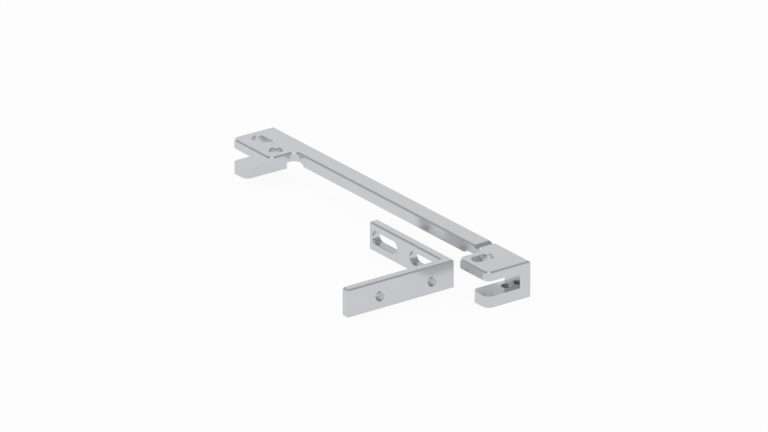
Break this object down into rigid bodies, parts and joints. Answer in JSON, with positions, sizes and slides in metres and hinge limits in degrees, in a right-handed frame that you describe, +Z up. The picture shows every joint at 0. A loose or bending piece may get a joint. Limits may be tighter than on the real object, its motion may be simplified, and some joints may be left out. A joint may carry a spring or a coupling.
{
  "type": "vertical gpu bracket",
  "caption": "Two-piece aluminium bracket for standing a graphics card upright: a slim rail with a slotted fork block at each end, and a short L-bracket with slots and threaded holes.",
  "frame": {"origin": "on the floor, below the middle of the pair's bounding box", "axes": "+X along the rail to its right end, +Y to the rail's back face, +Z up"},
  "size_m": [0.1408, 0.0564, 0.0122],
  "materials": {
    "satin_aluminium": "satin, fine milled"
  },
  "bodies": {
    "root": {"rail_bracket": "satin_aluminium", "l_bracket": "satin_aluminium"}
  },
  "joints": []
}
